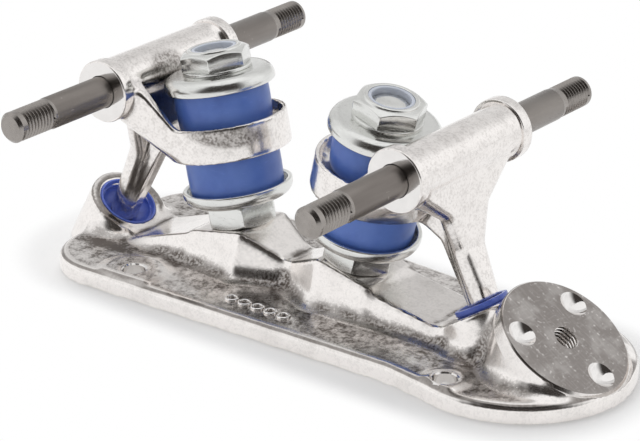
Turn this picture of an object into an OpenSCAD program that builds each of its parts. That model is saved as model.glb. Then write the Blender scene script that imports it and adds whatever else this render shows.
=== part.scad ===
// Roller skate plate with two sprung trucks, millimetres.
// +X points to the toe, +Z points away from the boot.
// The origin lies on the boot face, midway between the axles.

/* [Trucks] */
// Distance of each axle from the middle of the plate
axle_x = 45.5; // [44:0.5:48]
// Height of the axles above the boot face
axle_z = 50; // [49:0.5:52]
// Lean of each kingpin away from the middle
kingpin_lean = 12; // [9:0.5:14]
// Distance from the middle at which a kingpin leaves its boss
kingpin_x = 18.4; // [17.5:0.1:20]
// Distance of each pivot from the middle
pivot_x = 59; // [58:0.25:60.5]
// Height of each pivot above the boot face
pivot_z = 8.4; // [8:0.1:10]

/* [Axles] */
// Diameter of an axle
axle_d = 8; // [7:0.5:8]
// Length of an axle
axle_len = 108; // [90:1:120]
// Length of the thread at each end
axle_thread_len = 12.7; // [8:0.1:16]
// Pitch of the axle thread
axle_pitch = 1.06; // [0.8:0.01:1.5]
// Depth of the axle thread
axle_thread_depth = 0.55; // [0.3:0.05:0.7]
// Chamfer at each end of an axle
axle_chamfer = 1; // [0.5:0.1:1.5]
// Diameter that an axle gains where it is pressed into its hanger
axle_press = 0.5; // [0.4:0.05:0.8]

/* [Hangers] */
// Length of the tube that carries the axle
tube_len = 44; // [40:0.5:50]
// Diameter of the tube
tube_d = 12.6; // [12:0.1:12.8]
// Height of the tube's centre above the axle
tube_rise = 0.7; // [0.3:0.1:1]
// Distance of the tube's centre outwards from the axle
tube_out = 0.9; // [0.8:0.1:1.2]
// Diameter of the collar at each end of the tube
collar_d = 14.8; // [14:0.1:15.6]
// Width of a collar
collar_w = 3.4; // [2.5:0.1:5]
// Outer diameter of the cushion ring
ring_d = 31; // [30.4:0.1:32]
// Height of the cushion ring
ring_h = 9; // [8:0.1:10]
// Diameter of the upper seat in the ring
upper_seat_d = 28.8; // [28.4:0.1:29]
// Diameter of the lower seat in the ring
lower_seat_d = 25.4; // [25:0.1:26.5]
// Thickness of the web between the two seats
ring_web = 2.6; // [2:0.1:3.5]
// Diameter of the hole for the kingpin in the web
web_hole_d = 14.4; // [14:0.1:16]
// Distance from the kingpin to the outer end of the room round the upper retainer
room_len = 16; // [15.4:0.1:16.4]
// Height of the fan's cheeks above the foot of the ring
cheek_h = 21; // [19:0.25:22]
// Distance from the kingpin at which the cheeks rise from the ring
cheek_foot = 3; // [1:0.25:5]
// Distance from the kingpin at which the cheeks reach their height
cheek_top = 12.5; // [11:0.25:14]
// Width of the fan where it meets the tube
fan_w = 36; // [33:0.5:37]
// Thickness of the fan where it meets the tube
fan_t = 8.4; // [7:0.1:9]
// Height of the axle above the middle of the fan
fan_drop = 2.4; // [2:0.1:3]
// Distance of the arm's shoulder below the axle
shoulder_drop = 12; // [11:0.25:13]
// Width of the arm across its shoulder
shoulder_w = 16.8; // [15:0.2:18]
// Thickness of the arm at its shoulder
shoulder_t = 5.2; // [4.5:0.1:6]
// Distance of the arm's elbow below the axle
elbow_drop = 22; // [20:0.25:24]
// Distance of the elbow inwards from the line between axle and pivot
elbow_in = 1.8; // [1:0.1:2.4]
// Width of the arm across its elbow
elbow_w = 10; // [9:0.2:11]
// Thickness of the arm at its elbow
elbow_t = 5.4; // [4.5:0.1:6]
// Thickness of the rib that stiffens the arm
rib_w = 4.2; // [3:0.1:5]
// Height of the rib's root above the foot of the ring
rib_lift = 1; // [0.6:0.1:2]
// Depth of the rib at the elbow
rib_depth = 6.5; // [5:0.1:7.5]
// Diameter of the pivot ball at the end of the arm
ball_d = 7.6; // [7:0.1:8]

/* [Cushions] */
// Height of lower cushion that shows between retainer and ring
lower_show = 9; // [8:0.1:10]
// Height of upper cushion that shows between ring and retainer
upper_show = 7.6; // [7:0.1:9]
// Chamfer of a cushion at the ring
cushion_chamfer = 0.8; // [0.4:0.1:1.2]
// Gap between a cushion and the wall of its retainer
cushion_ease = 0.2; // [0.1:0.05:0.4]
// Gap between a cushion and its kingpin
cushion_gap = 0.5; // [0.3:0.1:1]

/* [Retainers] */
// Diameter of a retainer's rolled lip
retainer_d = 28; // [27.4:0.1:28]
// Height of a retainer
retainer_h = 3.9; // [3.4:0.1:4.6]
// Sheet thickness of a retainer
retainer_wall = 1.2; // [0.8:0.1:1.4]
// Width of the rolled lip beyond the wall
lip_w = 0.6; // [0.3:0.1:0.7]
// Height of the rolled lip
lip_h = 1.4; // [1:0.1:1.8]
// Radius of a retainer's shoulder
retainer_round = 1.6; // [1:0.1:2]
// Taper of a retainer's wall from lip to floor
retainer_taper = 1.2; // [0.6:0.1:1.6]
// Gap between a retainer or washer and its kingpin
retainer_gap = 0.3; // [0.2:0.05:0.5]

/* [Fasteners] */
// Diameter of a kingpin
kingpin_d = 9.5; // [8:0.1:9.6]
// Length of kingpin screwed into the plate
kingpin_sunk = 12; // [10:0.5:14]
// Depth of a kingpin's end below the top of its nut
kingpin_below = 1; // [0.5:0.1:1.5]
// Pitch of the kingpin thread
kingpin_pitch = 1.06; // [0.8:0.01:1.5]
// Depth of the kingpin thread
kingpin_thread_depth = 0.5; // [0.3:0.05:0.6]
// Length of kingpin thread at the top
kingpin_thread_len = 10; // [8:0.5:14]
// Running gap between a nut and its kingpin
nut_gap = 0.06; // [0.02:0.01:0.1]
// Width of a jam nut across its flats
jam_af = 16.5; // [15:0.1:17.5]
// Height of a jam nut
jam_h = 6.2; // [5.5:0.1:8]
// Turn of the front jam nut on its kingpin
front_jam_turn = -18; // [-30:1:30]
// Turn of the rear jam nut on its kingpin
rear_jam_turn = -12; // [-30:1:30]
// Width of an action nut across its flats
nut_af = 15.9; // [15:0.1:16.6]
// Height of the hexagon of an action nut
nut_hex_h = 4.3; // [3.5:0.1:5]
// Turn of the front action nut on its kingpin
front_nut_turn = -9; // [-30:1:30]
// Turn of the rear action nut on its kingpin
rear_nut_turn = 0; // [-30:1:30]
// Diameter of the round collar above the hexagon
nut_collar_d = 13.8; // [13:0.1:14.6]
// Height of the round collar
nut_collar_h = 0.7; // [0.4:0.1:1.2]
// Height of the nylon insert
insert_h = 2.2; // [1.5:0.1:2.5]
// Diameter of the nylon insert
insert_d = 11.6; // [11.2:0.1:12]
// Chamfer on the corners of a hexagon
hex_chamfer = 0.6; // [0.3:0.1:0.9]
// Diameter of the washer under an action nut
washer_d = 17.4; // [16:0.1:19]
// Thickness of the washer
washer_t = 1; // [0.8:0.1:1.5]

/* [Pivot sockets] */
// Lean of the sockets towards the middle
socket_lean = 32; // [29:0.5:35]
// Distance of the front cup's top from the pivot
front_cup_rise = 7.4; // [7:0.1:7.8]
// Distance of the rear cup's top from the pivot
rear_cup_rise = 2.4; // [2:0.1:3]
// Depth of a cup below the pivot
cup_below = 5.4; // [5:0.1:6]
// Diameter of a cup's body
cup_d = 13; // [12.4:0.1:13.4]
// Diameter of a cup's rim
cup_rim_d = 15.2; // [14.6:0.1:16]
// Thickness of a cup's rim
cup_rim_t = 1.4; // [1:0.1:1.6]
// Wall of a cup at its mouth
cup_mouth_wall = 0.9; // [0.6:0.1:1.1]
// Gap between a cup's seat and the pivot ball
ball_gap = 0.1; // [0.05:0.01:0.15]
// Diameter of a pivot boss at its mouth
boss_mouth_d = 20.6; // [19.5:0.1:22]
// Diameter of a pivot boss at the boot face
boss_foot_d = 25; // [22:0.5:26]
// Distance of the rear boss's foot from the middle
rear_foot_x = 62; // [60:0.25:64]
// Distance of the front boss's foot from the middle
front_foot_x = 60; // [58:0.25:62]

/* [Plate] */
// Thickness of the flange
flange_t = 5; // [4:0.1:5.5]
// Bevel along the upper edge of the flange
flange_bevel = 1.2; // [0.6:0.1:1.6]
// Half width of the plate across the heel
heel_half_w = 30; // [28:0.5:33]
// Radius of the heel corners
heel_corner_r = 15; // [10:0.5:18]
// Distance of the heel end from the middle
heel_x = 63; // [61:0.5:66]
// Half width of the plate at the waist
waist_half_w = 25.4; // [24.5:0.1:26.5]
// Distance of the waist from the middle
waist_x = 46; // [44:0.5:47]
// Distance from the waist to the start of the round toe
waist_gap = 12; // [10:0.5:14]
// Radius of the round toe
toe_r = 28.4; // [28:0.1:30]
// Distance of the toe circle's centre from the middle
toe_x = 66.5; // [66:0.25:68]
// Half width of the ridge along its top
ridge_half_w = 9; // [8.5:0.1:10]
// Draft of the ridge's side walls
ridge_draft = 15; // [10:1:20]
// Half width of the ridge in the valley between the kingpin bosses
valley_half_w = 5; // [4:0.1:6.5]
// Height of the valley
valley_z = 11; // [9:0.25:12]
// Height of the crest beside the valley
crest_z = 16.7; // [16:0.1:17.5]
// Distance of the crest from the middle
crest_x = 12.3; // [11.5:0.1:13]
// Distance from the middle to the end of a kingpin face
face_end_x = 27.7; // [27.2:0.1:28.5]
// Length of the step below a kingpin face
step_len = 2; // [1:0.1:3]
// Height of the ramp at the foot of the step
ramp_z = 12; // [11:0.1:12.6]
// Height of the front ramp at its pivot socket
front_ramp_end_z = 9; // [8:0.1:9.2]
// Height of the rear ramp at its pivot socket
rear_ramp_end_z = 5.4; // [5.2:0.1:6]
// Distance from the middle to the end of the ramp
ramp_end_x = 49; // [48:0.25:51]

/* [Boot holes] */
// Diameter of the boot holes
boot_hole_d = 5.6; // [4.5:0.1:6.5]
// Distance of the front boot holes from the middle
front_hole_x = 62; // [60:0.25:63]
// Distance of the rear boot holes from the middle
rear_hole_x = 35; // [33:0.25:37]
// Distance of the boot holes from the centre line
hole_y = 23.2; // [22.5:0.1:23.6]
// Diameter of the raised pad round a front boot hole
front_pad_d = 10.4; // [9:0.1:11]
// Diameter of the raised pad round a rear boot hole
rear_pad_d = 17; // [14:0.5:19]
// Least distance from a pad to the flange's bevel
pad_margin = 0.4; // [0.2:0.1:1]
// Height of a pad above the flange
pad_h = 0.7; // [0.4:0.1:1]
// Number of ring marks on the flange
pip_count = 5; // [1:1:7]
// Distance between ring marks
pip_step = 4.1; // [4:0.1:5]
// Outer diameter of a ring mark
pip_d = 3.4; // [2.8:0.1:3.6]
// Width of a ring mark's wall
pip_wall = 0.7; // [0.5:0.1:0.9]
// Height of a ring mark
pip_h = 0.45; // [0.2:0.05:0.6]
// Place of the middle ring mark along the plate
pip_x = 3.5; // [0:0.5:6]
// Distance of the ring marks from the centre line
pip_y = 20.4; // [19.5:0.1:21]

/* [Toe boss] */
// Lean of the toe face towards the toe
toe_lean = 32.8; // [30:0.2:35]
// Distance of the toe face's centre from the middle
toe_face_x = 79.5; // [79:0.1:80.5]
// Height of the toe face's centre
toe_face_z = 12.7; // [12.5:0.1:13.5]
// Diameter of the toe face
toe_face_d = 33.6; // [32:0.1:34]
// Diameter of the toe boss at the boot face
toe_foot_d = 36.4; // [34:0.1:37]
// Distance of the toe boss's foot from the middle
toe_foot_x = 76.6; // [75.5:0.1:77]
// Diameter of the toe stop hole
toe_hole_d = 6; // [5:0.1:8]
// Number of dimples round the toe stop hole
dimple_count = 3; // [2:1:6]
// Diameter of the dimple circle
dimple_circle_d = 24.2; // [22:0.1:25]
// Diameter of a dimple
dimple_d = 6.6; // [5:0.1:7]
// Depth of a dimple
dimple_depth = 2.4; // [1.5:0.1:3]

/* [Hidden] */
$fn = 64;
// Sides of each round end of a hull
hull_fn = 32;
// Overlap that makes a cut or a join clean
eps = 0.1;
// Depth by which the end of a hull lies inside the round piece that it joins
merge_in = 0.2;
// Height of the flange's deck above its bevel, and its distance from the bevel
deck_rise = 0.05;
deck_in = 0.15;
// Points along a quarter of a turn in the flange outline
arc_steps = 9;

// Height of a kingpin face where the kingpin leaves it
face_z = crest_z - (kingpin_x - crest_x) * tan(kingpin_lean);
face_end_z = crest_z - (face_end_x - crest_x) * tan(kingpin_lean);

// Heights along a kingpin, from its face
lower_rim_s = jam_h + retainer_h;
ring_low_s = lower_rim_s + lower_show;
ring_mid_s = ring_low_s + ring_h / 2;
upper_rim_s = ring_low_s + ring_h + upper_show;
washer_s = upper_rim_s + retainer_h;
nut_s = washer_s + washer_t;
nut_h = nut_hex_h + nut_collar_h;
kingpin_top_s = nut_s + nut_h - kingpin_below;

// Places along the front arm, as seen from the side
arm_slope = (pivot_x - axle_x) / (axle_z - pivot_z);
shoulder_xz = [axle_x + shoulder_drop * arm_slope, axle_z - shoulder_drop];
elbow_xz = [axle_x + elbow_drop * arm_slope - elbow_in, axle_z - elbow_drop];
// Root of the rib in the middle of the ring's wall, a little above its foot
rib_root_e = (ring_d + lower_seat_d) / 4;
rib_root_s = ring_low_s + rib_lift;
rib_root_xz = [kingpin_x + rib_root_s * sin(kingpin_lean) + rib_root_e * cos(kingpin_lean),
    face_z + rib_root_s * cos(kingpin_lean) - rib_root_e * sin(kingpin_lean)];

retainer_body_r = retainer_d / 2 - lip_w;
retainer_foot_r = retainer_body_r - retainer_taper;
cushion_r = retainer_body_r - retainer_wall - cushion_ease;
cushion_end_r = retainer_foot_r - retainer_wall - cushion_ease;
kingpin_bore_d = kingpin_d + 2 * nut_gap;
cup_socket_depth = cup_below + eps;
// The front cup's rim stands on the mouth of its boss, the rear one is sunk in it
front_mouth_rise = front_cup_rise - cup_rim_t;
toe_hole_len = 4 * toe_face_z;

// Colours of the materials
aluminium = [0.80, 0.78, 0.76];
dark_steel = [0.42, 0.39, 0.37];
zinc = [0.82, 0.84, 0.83];
urethane = [0.27, 0.37, 0.66];
cup_blue = [0.24, 0.30, 0.72];
nylon = [0.86, 0.90, 0.95];

// Puts a piece of the front truck at the front, or its mirror image at the rear
module at_end(front) {
    if (front) children();
    else mirror([1, 0, 0]) children();
}

// Places a piece along the front kingpin, s above the kingpin face
module on_kingpin(s) {
    translate([kingpin_x, 0, face_z]) rotate([0, kingpin_lean, 0]) translate([0, 0, s]) children();
}

// Places a piece at the front pivot, along the axis of its socket
module at_pivot(rise) {
    translate([pivot_x, 0, pivot_z]) rotate([0, -socket_lean, 0]) translate([0, 0, rise]) children();
}

// Places a piece on the toe face, with its axis square to the face
module on_toe_face() {
    translate([toe_face_x, 0, toe_face_z]) rotate([0, toe_lean, 0]) children();
}

// Points of a circular arc
function arc(centre, r, from, to, steps = arc_steps) =
    [for (i = [0 : steps]) let (a = from + (to - from) * i / steps) centre + r * [cos(a), sin(a)]];

// Crests and roots of a thread that starts at z and runs upwards
function thread(r, depth, pitch, z, turns) =
    [for (i = [0 : turns - 1], half = [0, 1])
        half == 0 ? [r - depth, z + (i + 0.5) * pitch] : [r, z + (i + 1) * pitch]];

// Profile of a rod with its lower end at zero and a thread above a chamfer
function threaded_end(r, chamfer, depth, pitch, length) =
    concat([[0, 0], [r - chamfer, 0], [r, chamfer]],
        thread(r, depth, pitch, chamfer, floor((length - chamfer) / pitch)));

// Angle on the toe circle at which the waist's blend begins
function toe_start(inset) = -acos((waist_x + waist_gap - toe_x) / (toe_r - inset));

// Half of the flange outline on the -Y side, heel to toe, drawn in by an inset
function half_outline(inset) = concat(
    arc([-heel_x + heel_corner_r, -heel_half_w + heel_corner_r], heel_corner_r - inset, 180, 270),
    [[waist_x, -waist_half_w + inset]],
    arc([toe_x, 0], toe_r - inset, toe_start(inset), 0, 2 * arc_steps));

function whole_outline(inset) = let (half = half_outline(inset), n = len(half))
    concat(half, [for (i = [n - 2 : -1 : 0]) [half[i].x, -half[i].y]]);

// Closed skin through a stack of rings that all have the same number of points
module skin(rings) {
    n = len(rings[0]);
    last = len(rings) - 1;
    sides = [for (k = [0 : last - 1], i = [0 : n - 1], half = [0, 1]) let (j = (i + 1) % n)
        half == 0 ? [k * n + i, (k + 1) * n + i, k * n + j] : [k * n + j, (k + 1) * n + i, (k + 1) * n + j]];
    polyhedron([for (ring = rings) each ring],
        concat([[for (i = [0 : n - 1]) i]], sides, [[for (i = [n - 1 : -1 : 0]) last * n + i]]));
}

// Flange with a bevelled upper edge, and its flat deck a hair above the bevel
module flange() {
    low = flange_t - flange_bevel;
    heights = [[0, 0], [low, 0], [flange_t, flange_bevel], [low, 2 * flange_bevel]];
    skin([for (h = heights) [for (p = whole_outline(h[1])) [p.x, p.y, h[0]]]]);
    translate([0, 0, eps]) linear_extrude(flange_t + deck_rise - eps)
        polygon(whole_outline(flange_bevel + deck_in));
}

// Cross-section of the ridge at x, with its top at z
function ridge_section(x, z, half_w) = let (foot = half_w + z * tan(ridge_draft))
    [[x, foot, eps], [x, half_w, z], [x, -half_w, z], [x, -foot, eps]];

// Places, heights and half widths along one half of the ridge, from crest to pivot socket
function half_ridge(end_z) = [[crest_x, crest_z, ridge_half_w],
    [face_end_x, face_end_z, ridge_half_w],
    [face_end_x + step_len, ramp_z, ridge_half_w],
    [ramp_end_x, end_z, ridge_half_w],
    [pivot_x, end_z, ridge_half_w]];

// Ridge that carries both kingpin faces and both ramps
module ridge() {
    rear = half_ridge(rear_ramp_end_z);
    stations = concat([for (i = [len(rear) - 1 : -1 : 0]) [-rear[i][0], rear[i][1], rear[i][2]]],
        [[0, valley_z, valley_half_w]], half_ridge(front_ramp_end_z));
    skin([for (s = stations) ridge_section(s[0], s[1], s[2])]);
}

// Boss round a pivot socket, from its foot on the boot face to its leaning mouth
module pivot_boss(rise, foot_x) {
    hull() {
        at_pivot(rise - eps) cylinder(d = boss_mouth_d, h = eps, $fn = hull_fn);
        translate([foot_x, 0, 0]) cylinder(d = boss_foot_d, h = eps, $fn = hull_fn);
    }
}

// Socket for a pivot cup and its rim
module cup_socket(rise) {
    at_pivot(-cup_socket_depth) cylinder(d = cup_d, h = cup_socket_depth + rise + eps);
    at_pivot(rise - cup_rim_t) cylinder(d = cup_rim_d, h = cup_rim_t + 2 * eps);
}

// Boss that carries the toe stop
module toe_boss() {
    hull() {
        on_toe_face() translate([0, 0, -eps]) cylinder(d = toe_face_d, h = eps, $fn = 2 * hull_fn);
        translate([toe_foot_x, 0, 0]) cylinder(d = toe_foot_d, h = eps, $fn = 2 * hull_fn);
    }
}

// Threaded hole and keying dimples in the toe face, and the room above the machined face
module toe_cuts() {
    on_toe_face() {
        cylinder(d = toe_face_d, h = toe_face_z);
        translate([0, 0, -toe_hole_len / 2]) cylinder(d = toe_hole_d, h = toe_hole_len);
        for (i = [0 : dimple_count - 1])
            rotate(360 * i / dimple_count) translate([dimple_circle_d / 2, 0, -dimple_depth])
                cylinder(d1 = 0, d2 = dimple_d, h = dimple_depth);
    }
}

// Places a piece at each boot hole
module at_boot_holes() {
    for (x = [-rear_hole_x, front_hole_x], side = [-1, 1])
        translate([x, side * hole_y, 0]) children();
}

// Low pads round the boot holes, kept inside the flange's bevel
module pads() {
    intersection() {
        linear_extrude(flange_t + pad_h) polygon(whole_outline(flange_bevel + pad_margin));
        for (side = [-1, 1]) {
            translate([-rear_hole_x, side * hole_y, eps]) cylinder(d = rear_pad_d, h = flange_t + pad_h);
            translate([front_hole_x, side * hole_y, eps]) cylinder(d = front_pad_d, h = flange_t + pad_h);
        }
    }
}

// Row of small raised rings on one side of the flange
module ring_marks() {
    for (i = [0 : pip_count - 1])
        translate([pip_x + (i - (pip_count - 1) / 2) * pip_step, -pip_y, flange_t - eps])
            difference() {
                cylinder(d = pip_d, h = pip_h + eps);
                cylinder(d = pip_d - 2 * pip_wall, h = pip_h + 2 * eps);
            }
}

module base_plate() {
    color(aluminium) difference() {
        union() {
            flange();
            ridge();
            pivot_boss(front_mouth_rise, front_foot_x);
            at_end(false) pivot_boss(rear_cup_rise, rear_foot_x);
            toe_boss();
            pads();
            ring_marks();
        }
        cup_socket(front_cup_rise);
        at_end(false) cup_socket(rear_cup_rise);
        for (front = [true, false])
            at_end(front) on_kingpin(-kingpin_sunk) cylinder(d = kingpin_d, h = kingpin_sunk + flange_t);
        toe_cuts();
        at_boot_holes() translate([0, 0, -eps]) cylinder(d = boot_hole_d, h = flange_t + pad_h + 2 * eps);
    }
}

// Plastic cup with a rim, a funnel and a round seat for the pivot ball
module pivot_cup(front, rise) {
    seat_r = ball_d / 2 + ball_gap;
    color(cup_blue) at_end(front) at_pivot(0) difference() {
        union() {
            translate([0, 0, -cup_below]) cylinder(d = cup_d, h = cup_below + rise);
            translate([0, 0, rise - cup_rim_t]) cylinder(d = cup_rim_d, h = cup_rim_t);
        }
        sphere(seat_r);
        cylinder(r1 = seat_r, r2 = cup_d / 2 - cup_mouth_wall, h = rise + eps);
    }
}

module front_pivot_cup() {
    pivot_cup(true, front_cup_rise);
}

module rear_pivot_cup() {
    pivot_cup(false, rear_cup_rise);
}

// Threaded stud that leans out of the plate
module kingpin(front) {
    length = kingpin_sunk + kingpin_top_s;
    tip = threaded_end(kingpin_d / 2, kingpin_thread_depth, kingpin_thread_depth,
        kingpin_pitch, kingpin_thread_len);
    color(dark_steel) at_end(front) on_kingpin(kingpin_top_s) rotate([180, 0, 0])
        rotate_extrude() polygon(concat(tip, [[kingpin_d / 2, length], [0, length]]));
}

module front_kingpin() {
    kingpin(true);
}

module rear_kingpin() {
    kingpin(false);
}

// Hexagon with its corners chamfered, standing on zero
module hexagon(af, h, chamfer_low, chamfer_high) {
    corner_r = af / 2 / cos(30);
    intersection() {
        cylinder(r = corner_r, h = h, $fn = 6);
        rotate_extrude() polygon([[0, 0], [corner_r - chamfer_low, 0], [corner_r, chamfer_low],
            [corner_r, h - chamfer_high], [corner_r - chamfer_high, h], [0, h]]);
    }
}

// Nut that locks a kingpin to the plate
module jam_nut(front, turn) {
    color(zinc) at_end(front) on_kingpin(0) rotate(turn) difference() {
        hexagon(jam_af, jam_h, hex_chamfer, hex_chamfer);
        translate([0, 0, -eps]) cylinder(d = kingpin_bore_d, h = jam_h + 2 * eps);
    }
}

module front_jam_nut() {
    jam_nut(true, front_jam_turn);
}

module rear_jam_nut() {
    jam_nut(false, rear_jam_turn);
}

// Pressed cup washer with a rolled lip, standing on its closed side
module retainer() {
    bore_r = kingpin_d / 2 + retainer_gap;
    lip_z = retainer_h - lip_h;
    rotate_extrude() polygon(concat([[bore_r, 0]],
        arc([retainer_foot_r - retainer_round, retainer_round], retainer_round, -90, 0, 5),
        [[retainer_body_r, lip_z], [retainer_d / 2, lip_z + lip_w], [retainer_d / 2, retainer_h],
            [retainer_body_r - retainer_wall, retainer_h], [retainer_foot_r - retainer_wall, retainer_wall],
            [bore_r, retainer_wall]]));
}

// Retainer on the jam nut, open upwards
module lower_retainer(front) {
    color(zinc) at_end(front) on_kingpin(jam_h) retainer();
}

module front_lower_retainer() {
    lower_retainer(true);
}

module rear_lower_retainer() {
    lower_retainer(false);
}

// Retainer under the action nut, open downwards
module upper_retainer(front) {
    color(zinc) at_end(front) on_kingpin(washer_s) rotate([180, 0, 0]) retainer();
}

module front_upper_retainer() {
    upper_retainer(true);
}

module rear_upper_retainer() {
    upper_retainer(false);
}

// Urethane ring, standing on the end that sits in its retainer
module cushion(h) {
    bore_r = kingpin_d / 2 + cushion_gap;
    rotate_extrude() polygon([[bore_r, 0], [cushion_end_r, 0], [cushion_r, retainer_h - retainer_wall],
        [cushion_r, h - cushion_chamfer], [cushion_r - cushion_chamfer, h], [bore_r, h]]);
}

module lower_cushion(front) {
    from = jam_h + retainer_wall;
    color(urethane) at_end(front) on_kingpin(from) cushion(ring_mid_s - ring_web / 2 - from);
}

module upper_cushion(front) {
    from = washer_s - retainer_wall;
    color(urethane) at_end(front) on_kingpin(from) rotate([180, 0, 0])
        cushion(from - ring_mid_s - ring_web / 2);
}

module front_lower_cushion() {
    lower_cushion(true);
}

module rear_lower_cushion() {
    lower_cushion(false);
}

module front_upper_cushion() {
    upper_cushion(true);
}

module rear_upper_cushion() {
    upper_cushion(false);
}

// Round bar across the plate, centred on the axle line or beside it
module cross_bar(d, length, out = 0, rise = 0, sides = $fn) {
    translate([axle_x + out, length / 2, axle_z + rise]) rotate([90, 0, 0])
        cylinder(d = d, h = length, $fn = sides);
}

// Bar inside the tube from which fan and arm spread
module spread_bar() {
    cross_bar(fan_t, fan_w, tube_out, -fan_drop, hull_fn);
}

// Two round edges of the arm, at a place seen from the side
module arm_edges(xz, w, t) {
    for (side = [-1, 1])
        translate([xz[0], side * (w - t) / 2, xz[1]]) sphere(d = t, $fn = hull_fn);
}

module shoulder() {
    arm_edges(shoulder_xz, shoulder_w, shoulder_t);
}

module elbow() {
    arm_edges(elbow_xz, elbow_w, elbow_t);
}

// Fan that joins the cushion ring to the tube, with cheeks that rise beside the retainer
module fan() {
    intersection() {
        hull() {
            on_kingpin(ring_low_s + merge_in)
                cylinder(d = ring_d - 2 * merge_in, h = upper_rim_s - ring_low_s, $fn = 2 * hull_fn);
            spread_bar();
        }
        on_kingpin(ring_low_s) rotate([90, 0, 0]) linear_extrude(2 * ring_d, center = true)
            polygon([[0, -ring_h], [axle_x, -ring_h], [axle_x, cheek_h],
                [cheek_top, cheek_h], [cheek_foot, ring_h - merge_in], [0, ring_h - merge_in]]);
    }
}

// Arm that narrows from the tube over shoulder and elbow to the pivot
module arm() {
    hull() {
        spread_bar();
        shoulder();
    }
    hull() {
        shoulder();
        elbow();
    }
    hull() {
        elbow();
        translate([pivot_x, 0, pivot_z]) sphere(d = ball_d - 2 * merge_in, $fn = hull_fn);
    }
}

// Rib on the kingpin's side of the arm, from the ring's foot to the pivot
module arm_rib() {
    rotate([90, 0, 0]) linear_extrude(rib_w, center = true) polygon([
        rib_root_xz,
        elbow_xz - [rib_depth, 0],
        [pivot_x - ball_d / 2, pivot_z],
        [pivot_x, pivot_z],
        elbow_xz,
        shoulder_xz,
        [axle_x + tube_out, axle_z - fan_drop]]);
}

// Cushion ring and fan, with room for the upper cushion and its retainer
module ring_and_fan() {
    difference() {
        union() {
            on_kingpin(ring_low_s) cylinder(d = ring_d, h = ring_h);
            fan();
        }
        on_kingpin(ring_mid_s + ring_web / 2) {
            cylinder(d = upper_seat_d, h = ring_d);
            translate([0, -upper_seat_d / 2, 0]) cube([room_len, upper_seat_d, ring_d]);
        }
    }
}

// Casting with axle tube, cushion ring and pivot arm
module hanger(front) {
    lower_seat_s = ring_mid_s - ring_web / 2;
    color(aluminium) at_end(front) difference() {
        union() {
            cross_bar(tube_d, tube_len - collar_w, tube_out, tube_rise);
            for (side = [-1, 1])
                translate([0, side * (tube_len - collar_w) / 2, 0]) cross_bar(collar_d, collar_w);
            ring_and_fan();
            arm();
            arm_rib();
            translate([pivot_x, 0, pivot_z]) sphere(d = ball_d);
        }
        on_kingpin(0) cylinder(d = lower_seat_d, h = lower_seat_s);
        on_kingpin(ring_low_s) cylinder(d = web_hole_d, h = ring_h);
        cross_bar(axle_d + axle_press, tube_len + 2 * eps);
    }
}

module front_hanger() {
    hanger(true);
}

module rear_hanger() {
    hanger(false);
}

// Axle with a thread at both ends, a little thicker where its hanger holds it
module axle(front) {
    shoulder = (axle_len - tube_len) / 2;
    end = concat(threaded_end(axle_d / 2, axle_chamfer, axle_thread_depth, axle_pitch, axle_thread_len),
        [[axle_d / 2, shoulder], [(axle_d + axle_press) / 2, shoulder]]);
    n = len(end);
    color(dark_steel) at_end(front) translate([axle_x, axle_len / 2, axle_z]) rotate([90, 0, 0])
        rotate_extrude() polygon(concat(end, [for (i = [n - 1 : -1 : 0]) [end[i].x, axle_len - end[i].y]]));
}

module front_axle() {
    axle(true);
}

module rear_axle() {
    axle(false);
}

// Flat washer between an upper retainer and its action nut
module nut_washer(front) {
    color(zinc) at_end(front) on_kingpin(washer_s) difference() {
        cylinder(d = washer_d, h = washer_t);
        translate([0, 0, -eps]) cylinder(d = kingpin_d + 2 * retainer_gap, h = washer_t + 2 * eps);
    }
}

module front_nut_washer() {
    nut_washer(true);
}

module rear_nut_washer() {
    nut_washer(false);
}

// Thin lock nut with a round collar that holds the nylon insert
module action_nut(front, turn) {
    color(zinc) at_end(front) on_kingpin(nut_s) rotate(turn) difference() {
        union() {
            hexagon(nut_af, nut_hex_h, 0, hex_chamfer);
            cylinder(d = nut_collar_d, h = nut_h);
        }
        translate([0, 0, -eps]) cylinder(d = kingpin_bore_d, h = nut_h + 2 * eps);
        translate([0, 0, nut_h - insert_h]) cylinder(d = insert_d, h = insert_h + eps);
    }
}

module front_action_nut() {
    action_nut(true, front_nut_turn);
}

module rear_action_nut() {
    action_nut(false, rear_nut_turn);
}

// Nylon ring that grips the kingpin's thread
module nylon_insert(front) {
    color(nylon) at_end(front) on_kingpin(nut_s + nut_h - insert_h) difference() {
        cylinder(d = insert_d, h = insert_h);
        translate([0, 0, -eps]) cylinder(d = kingpin_bore_d, h = insert_h + 2 * eps);
    }
}

module front_nylon_insert() {
    nylon_insert(true);
}

module rear_nylon_insert() {
    nylon_insert(false);
}

base_plate();
front_pivot_cup();
front_kingpin();
front_jam_nut();
front_lower_retainer();
front_lower_cushion();
front_hanger();
front_axle();
front_upper_cushion();
front_upper_retainer();
front_nut_washer();
front_action_nut();
front_nylon_insert();
rear_pivot_cup();
rear_kingpin();
rear_jam_nut();
rear_lower_retainer();
rear_lower_cushion();
rear_hanger();
rear_axle();
rear_upper_cushion();
rear_upper_retainer();
rear_nut_washer();
rear_action_nut();
rear_nylon_insert();
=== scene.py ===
from math import cos, pi, radians, sin, sqrt, tan

import bpy
from mathutils import Matrix, Vector


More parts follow.
